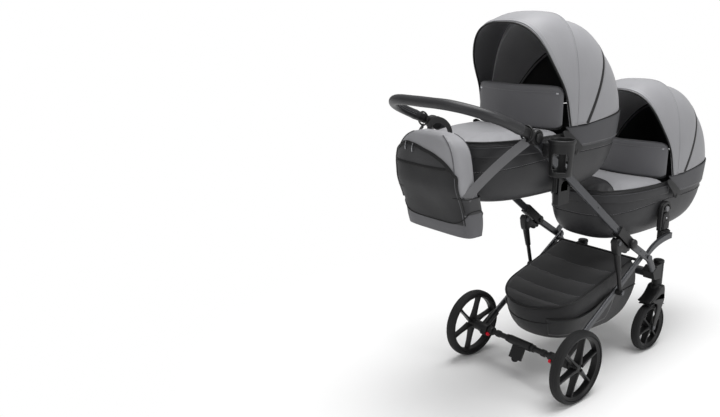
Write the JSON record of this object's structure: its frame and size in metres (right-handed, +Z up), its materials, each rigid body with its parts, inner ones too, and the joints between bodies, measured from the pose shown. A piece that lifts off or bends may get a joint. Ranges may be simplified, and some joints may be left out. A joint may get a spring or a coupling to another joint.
{
  "type": "twin pram",
  "caption": "Twin pram with a folding tube chassis, two carrycots one ahead of the other, hoods, a lidded basket, a cup holder and a changing bag.",
  "frame": {"origin": "on the ground in the middle of the pram, straight under the rear axle", "axes": "+X the pusher's right, +Y the way it rolls forward, +Z up"},
  "size_m": [0.608, 1.6495, 1.4],
  "materials": {
    "frame_metal": "graphite, satin",
    "black_plastic": "black, moulded",
    "black_metal": "black, satin",
    "bolt_steel": "plain",
    "red_plastic": "red, glossy",
    "grey_plastic": "grey, moulded",
    "tyre_rubber": "black, fine ribs",
    "grip_leatherette": "black, stitched",
    "hood_leatherette": "mid grey, fine grain",
    "tub_leatherette": "charcoal, fine grain",
    "mattress_cloth": "off-white quilting",
    "basket_cloth": "black woven",
    "bag_leatherette": "dark grey, fine grain",
    "strap_webbing": "grey webbing"
  },
  "bodies": {
    "chassis": {"front_tubes": "frame_metal", "hinge_brackets": "black_plastic", "hinge_pins": "black_plastic", "front_cross_bar": "frame_metal", "swivel_housings": "black_plastic", "rear_legs": "frame_metal", "frame_bolts": "bolt_steel", "brace_sleeves": "black_plastic", "brace_rods": "black_plastic", "rear_axle": "black_metal", "axle_castings": "black_plastic", "cot_arms": "frame_metal", "lower_adapters": "black_plastic", "basket_rod": "black_metal", "basket_tub": "basket_cloth"},
    "basket_lid": {"basket_lid": "basket_cloth"},
    "brake": {"brake_pedal": "black_plastic"},
    "release_left": {"wheel_release_left": "red_plastic"},
    "release_right": {"wheel_release_right": "red_plastic"},
    "rear_wheel_left": {"rear_tyre_left": "tyre_rubber", "rear_rim_left": "black_plastic"},
    "rear_wheel_right": {"rear_tyre_right": "tyre_rubber", "rear_rim_right": "black_plastic"},
    "swivel_left": {"fork_left": "black_plastic"},
    "swivel_right": {"fork_right": "black_plastic"},
    "front_wheel_left": {"front_tyre_left": "tyre_rubber", "front_rim_left": "black_plastic"},
    "front_wheel_right": {"front_tyre_right": "tyre_rubber", "front_rim_right": "black_plastic"},
    "upper_frame": {"upper_tubes": "frame_metal", "fold_brackets": "black_plastic", "upper_adapters": "black_plastic", "cup_holder": "black_plastic", "handle_hubs": "black_plastic"},
    "handle": {"handle_bar": "black_metal", "handle_grip": "grip_leatherette"},
    "button_left": {"handle_button_left": "black_plastic"},
    "button_right": {"handle_button_right": "black_plastic"},
    "bag": {"bag_body": "bag_leatherette", "bag_straps": "strap_webbing"},
    "upper_cot": {"upper_shell": "tub_leatherette", "upper_mattress": "mattress_cloth", "upper_apron": "hood_leatherette", "upper_hood_base": "hood_leatherette", "upper_latches": "black_plastic"},
    "upper_hood_mid": {"upper_hood_mid": "hood_leatherette"},
    "upper_hood_front": {"upper_hood_front": "hood_leatherette"},
    "upper_flap": {"upper_flap": "hood_leatherette"},
    "upper_latch_left": {"upper_release_left": "grey_plastic"},
    "upper_latch_right": {"upper_release_right": "grey_plastic"},
    "lower_cot": {"lower_shell": "tub_leatherette", "lower_mattress": "mattress_cloth", "lower_apron": "hood_leatherette", "lower_hood_base": "hood_leatherette", "lower_latches": "black_plastic"},
    "lower_hood_mid": {"lower_hood_mid": "hood_leatherette"},
    "lower_hood_front": {"lower_hood_front": "hood_leatherette"},
    "lower_flap": {"lower_flap": "hood_leatherette"},
    "lower_latch_left": {"lower_release_left": "grey_plastic"},
    "lower_latch_right": {"lower_release_right": "grey_plastic"}
  },
  "joints": [
    {"name": "frame_fold", "type": "hinge", "parent": "chassis", "child": "upper_frame", "pos_m": [0, 0.35, 0.536], "axis": [-1, 0, 0], "range_deg": [0, 100]},
    {"name": "upper_cot_lift", "type": "slide", "parent": "chassis", "child": "upper_cot", "axis": [0, 0.7392, 0.6735], "range_m": [0, 2.2]},
    {"name": "lower_cot_lift", "type": "slide", "parent": "chassis", "child": "lower_cot", "axis": [0, 0.7392, 0.6735], "range_m": [0, 2.2]},
    {"name": "handle_tilt", "type": "hinge", "parent": "upper_frame", "child": "handle", "pos_m": [0, -0.274, 1.016], "axis": [1, 0, 0], "range_deg": [0, 18]},
    {"name": "bag_hang", "type": "hinge", "parent": "handle", "child": "bag", "pos_m": [0, -0.32, 1.05747], "axis": [1, 0, 0], "range_deg": [-18, 0]},
    {"name": "button_right_press", "type": "slide", "parent": "handle", "child": "button_right", "axis": [-1, 0, 0], "range_m": [0, 0.003], "stiffness_N_per_m": 300},
    {"name": "release_right_press", "type": "slide", "parent": "chassis", "child": "release_right", "axis": [1, 0, 0], "range_m": [0, 0.004], "stiffness_N_per_m": 300},
    {"name": "rear_wheel_right_spin", "type": "hinge", "parent": "chassis", "child": "rear_wheel_right", "pos_m": [0.2575, 0, 0.141], "axis": [1, 0, 0], "continuous": true},
    {"name": "swivel_right_turn", "type": "hinge", "parent": "chassis", "child": "swivel_right", "pos_m": [0.185, 0.648, 0.3], "axis": [0, 0, 1], "continuous": true},
    {"name": "front_wheel_right_spin", "type": "hinge", "parent": "swivel_right", "child": "front_wheel_right", "pos_m": [0.185, 0.608, 0.105], "axis": [1, 0, 0], "continuous": true},
    {"name": "button_left_press", "type": "slide", "parent": "handle", "child": "button_left", "axis": [1, 0, 0], "range_m": [0, 0.003], "stiffness_N_per_m": 300},
    {"name": "release_left_press", "type": "slide", "parent": "chassis", "child": "release_left", "axis": [-1, 0, 0], "range_m": [0, 0.004], "stiffness_N_per_m": 300},
    {"name": "rear_wheel_left_spin", "type": "hinge", "parent": "chassis", "child": "rear_wheel_left", "pos_m": [-0.2575, 0, 0.141], "axis": [1, 0, 0], "continuous": true},
    {"name": "swivel_left_turn", "type": "hinge", "parent": "chassis", "child": "swivel_left", "pos_m": [-0.185, 0.648, 0.3], "axis": [0, 0, 1], "continuous": true},
    {"name": "front_wheel_left_spin", "type": "hinge", "parent": "swivel_left", "child": "front_wheel_left", "pos_m": [-0.185, 0.608, 0.105], "axis": [1, 0, 0], "continuous": true},
    {"name": "brake_press", "type": "hinge", "parent": "chassis", "child": "brake", "pos_m": [0, 0, 0.141], "axis": [1, 0, 0], "range_deg": [0, 20]},
    {"name": "basket_lid_open", "type": "hinge", "parent": "chassis", "child": "basket_lid", "pos_m": [0, 0.466, 0.43481], "axis": [-1, 0, 0], "range_deg": [0, 20]},
    {"name": "upper_hood_fold", "type": "hinge", "parent": "upper_cot", "child": "upper_hood_front", "pos_m": [0, -0.011, 0.934], "axis": [-1, 0, 0], "range_deg": [0, 76]},
    {"name": "upper_hood_mid_fold", "type": "hinge", "parent": "upper_cot", "child": "upper_hood_mid", "pos_m": [0, -0.011, 0.934], "axis": [-1, 0, 0], "range_deg": [0, 40]},
    {"name": "upper_flap_fold", "type": "hinge", "parent": "upper_cot", "child": "upper_flap", "pos_m": [0, -0.122, 1.0185], "axis": [1, 0, 0], "range_deg": [0, 70]},
    {"name": "upper_latch_right_press", "type": "slide", "parent": "upper_cot", "child": "upper_latch_right", "axis": [-1, 0, 0], "range_m": [0, 0.003], "stiffness_N_per_m": 300},
    {"name": "upper_latch_left_press", "type": "slide", "parent": "upper_cot", "child": "upper_latch_left", "axis": [1, 0, 0], "range_m": [0, 0.003], "stiffness_N_per_m": 300},
    {"name": "lower_hood_fold", "type": "hinge", "parent": "lower_cot", "child": "lower_hood_front", "pos_m": [0, 0.699, 0.664], "axis": [-1, 0, 0], "range_deg": [0, 76]},
    {"name": "lower_hood_mid_fold", "type": "hinge", "parent": "lower_cot", "child": "lower_hood_mid", "pos_m": [0, 0.699, 0.664], "axis": [-1, 0, 0], "range_deg": [0, 40]},
    {"name": "lower_flap_fold", "type": "hinge", "parent": "lower_cot", "child": "lower_flap", "pos_m": [0, 0.588, 0.7485], "axis": [1, 0, 0], "range_deg": [0, 70]},
    {"name": "lower_latch_right_press", "type": "slide", "parent": "lower_cot", "child": "lower_latch_right", "axis": [-1, 0, 0], "range_m": [0, 0.003], "stiffness_N_per_m": 300},
    {"name": "lower_latch_left_press", "type": "slide", "parent": "lower_cot", "child": "lower_latch_left", "axis": [1, 0, 0], "range_m": [0, 0.003], "stiffness_N_per_m": 300}
  ],
  "couplings": [
    {"joint": "upper_cot_lift", "follows": "frame_fold", "m_per_rad": 1.2176},
    {"joint": "lower_cot_lift", "follows": "frame_fold", "m_per_rad": 1.2176},
    {"joint": "bag_hang", "follows": "handle_tilt", "ratio": -1},
    {"joint": "upper_hood_mid_fold", "follows": "upper_hood_fold", "ratio": 0.5},
    {"joint": "lower_hood_mid_fold", "follows": "lower_hood_fold", "ratio": 0.5}
  ]
}
